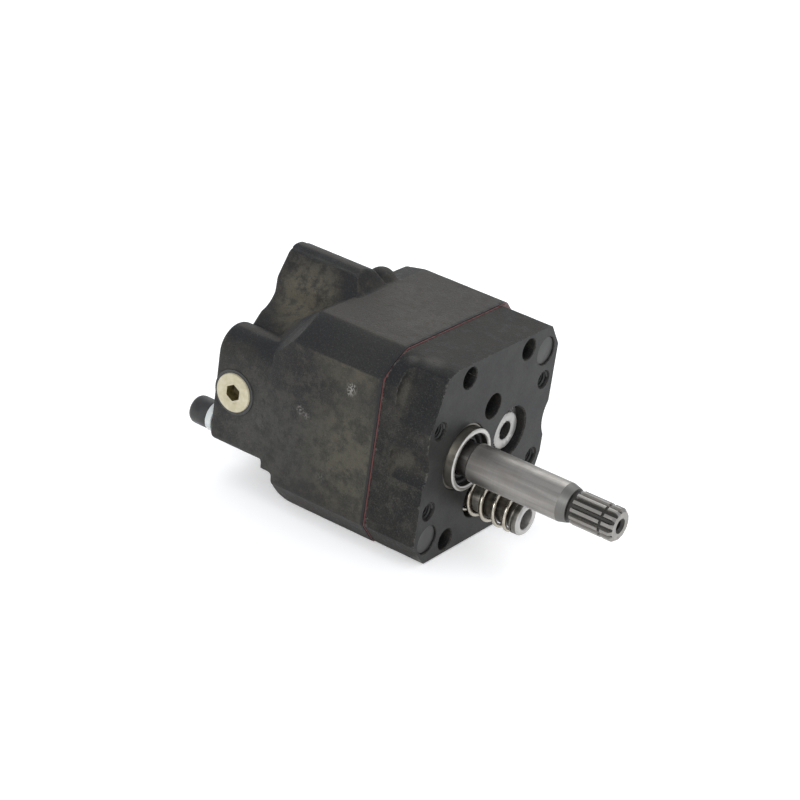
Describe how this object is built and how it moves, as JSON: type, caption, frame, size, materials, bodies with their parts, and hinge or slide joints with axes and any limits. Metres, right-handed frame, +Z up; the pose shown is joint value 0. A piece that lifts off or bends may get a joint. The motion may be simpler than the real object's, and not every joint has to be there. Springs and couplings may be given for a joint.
{
  "type": "axial piston pump",
  "caption": "Variable axial piston pump: dark cast housing, bolted front plate with a gear charge stage, splined drive shaft, spring-loaded relief plunger, rear ports.",
  "frame": {"origin": "where the drive shaft's axis meets the machined front face of the front plate", "axes": "+X along the drive shaft towards its splined tip, +Z up, +Y towards the idler gear"},
  "size_m": [0.2993, 0.1391, 0.1457],
  "materials": {
    "housing_paint": "dark painted casting, dusty satin",
    "plate_iron": "dark casting, machined in front",
    "gasket_sealant": "dark red sealing compound",
    "black_screws": "dark phosphated steel",
    "plug_steel": "dull pressed steel",
    "inner_steel": "ground",
    "ground_steel": "bright ground",
    "bearing_steel": "ground",
    "seal_rubber": "matte black",
    "gear_steel": "ground",
    "shaft_steel": "bright ground",
    "block_bronze": "machined bronze",
    "spring_steel": "drawn wire",
    "white_nylon": "natural nylon",
    "plug_zinc": "cream-yellow zinc passivation",
    "plunger_steel": "turned, oily",
    "relief_spring_steel": "drawn wire, slight yellow tint"
  },
  "bodies": {
    "casing": {"main_housing": "housing_paint", "front_plate": "plate_iron", "housing_gasket": "gasket_sealant", "housing_bolts": "black_screws", "core_plugs": "plug_steel", "dowel_pins": "inner_steel", "partition_plate": "inner_steel", "front_bearing_sleeve": "ground_steel", "front_needle_bearing": "bearing_steel", "idler_needle_bearing": "bearing_steel", "rear_needle_bearing": "bearing_steel", "shaft_seal": "seal_rubber", "valve_plate": "block_bronze", "swashplate": "inner_steel", "trunnion_pins": "inner_steel", "trunnion_bushes": "block_bronze", "control_arm": "inner_steel", "control_piston": "inner_steel", "bias_spring_guide": "inner_steel", "bias_spring": "spring_steel", "control_bore_plug": "black_screws", "compensator_spring": "spring_steel", "adjuster_body": "black_screws", "nylon_washer": "white_nylon", "side_plug": "plug_zinc", "side_plug_seal": "seal_rubber", "relief_spring": "relief_spring_steel"},
    "rotating_group": {"input_shaft": "shaft_steel", "charge_drive_gear": "gear_steel", "gear_key": "inner_steel", "block_snap_ring": "inner_steel", "cylinder_block": "block_bronze", "retainer_plate": "inner_steel", "retainer_ball": "inner_steel", "block_spring": "spring_steel", "piston_1": "inner_steel", "piston_2": "inner_steel", "piston_3": "inner_steel", "piston_4": "inner_steel", "piston_5": "inner_steel", "piston_6": "inner_steel", "piston_7": "inner_steel", "piston_8": "inner_steel", "piston_9": "inner_steel", "slipper_1": "block_bronze", "slipper_2": "block_bronze", "slipper_3": "block_bronze", "slipper_4": "block_bronze", "slipper_5": "block_bronze", "slipper_6": "block_bronze", "slipper_7": "block_bronze", "slipper_8": "block_bronze", "slipper_9": "block_bronze"},
    "charge_idler": {"charge_idler_gear": "gear_steel"},
    "relief_valve": {"relief_plunger": "plunger_steel"},
    "compensator": {"compensator_spool": "inner_steel", "compensator_spring_seat": "inner_steel"}
  },
  "joints": [
    {"name": "shaft_spin", "type": "hinge", "parent": "casing", "child": "rotating_group", "pos_m": [0, 0, 0], "axis": [1, 0, 0], "continuous": true},
    {"name": "idler_spin", "type": "hinge", "parent": "casing", "child": "charge_idler", "pos_m": [0, 0.051, 0], "axis": [1, 0, 0], "continuous": true},
    {"name": "relief_travel", "type": "slide", "parent": "casing", "child": "relief_valve", "axis": [-1, 0, 0], "range_m": [0, 0.01], "stiffness_N_per_m": 5000, "deforming": ["relief_spring"]},
    {"name": "compensator_travel", "type": "slide", "parent": "casing", "child": "compensator", "axis": [-1, 0, 0], "range_m": [0, 0.003], "stiffness_N_per_m": 4000, "deforming": ["compensator_spring"]}
  ],
  "couplings": [
    {"joint": "idler_spin", "follows": "shaft_spin", "ratio": -1}
  ]
}
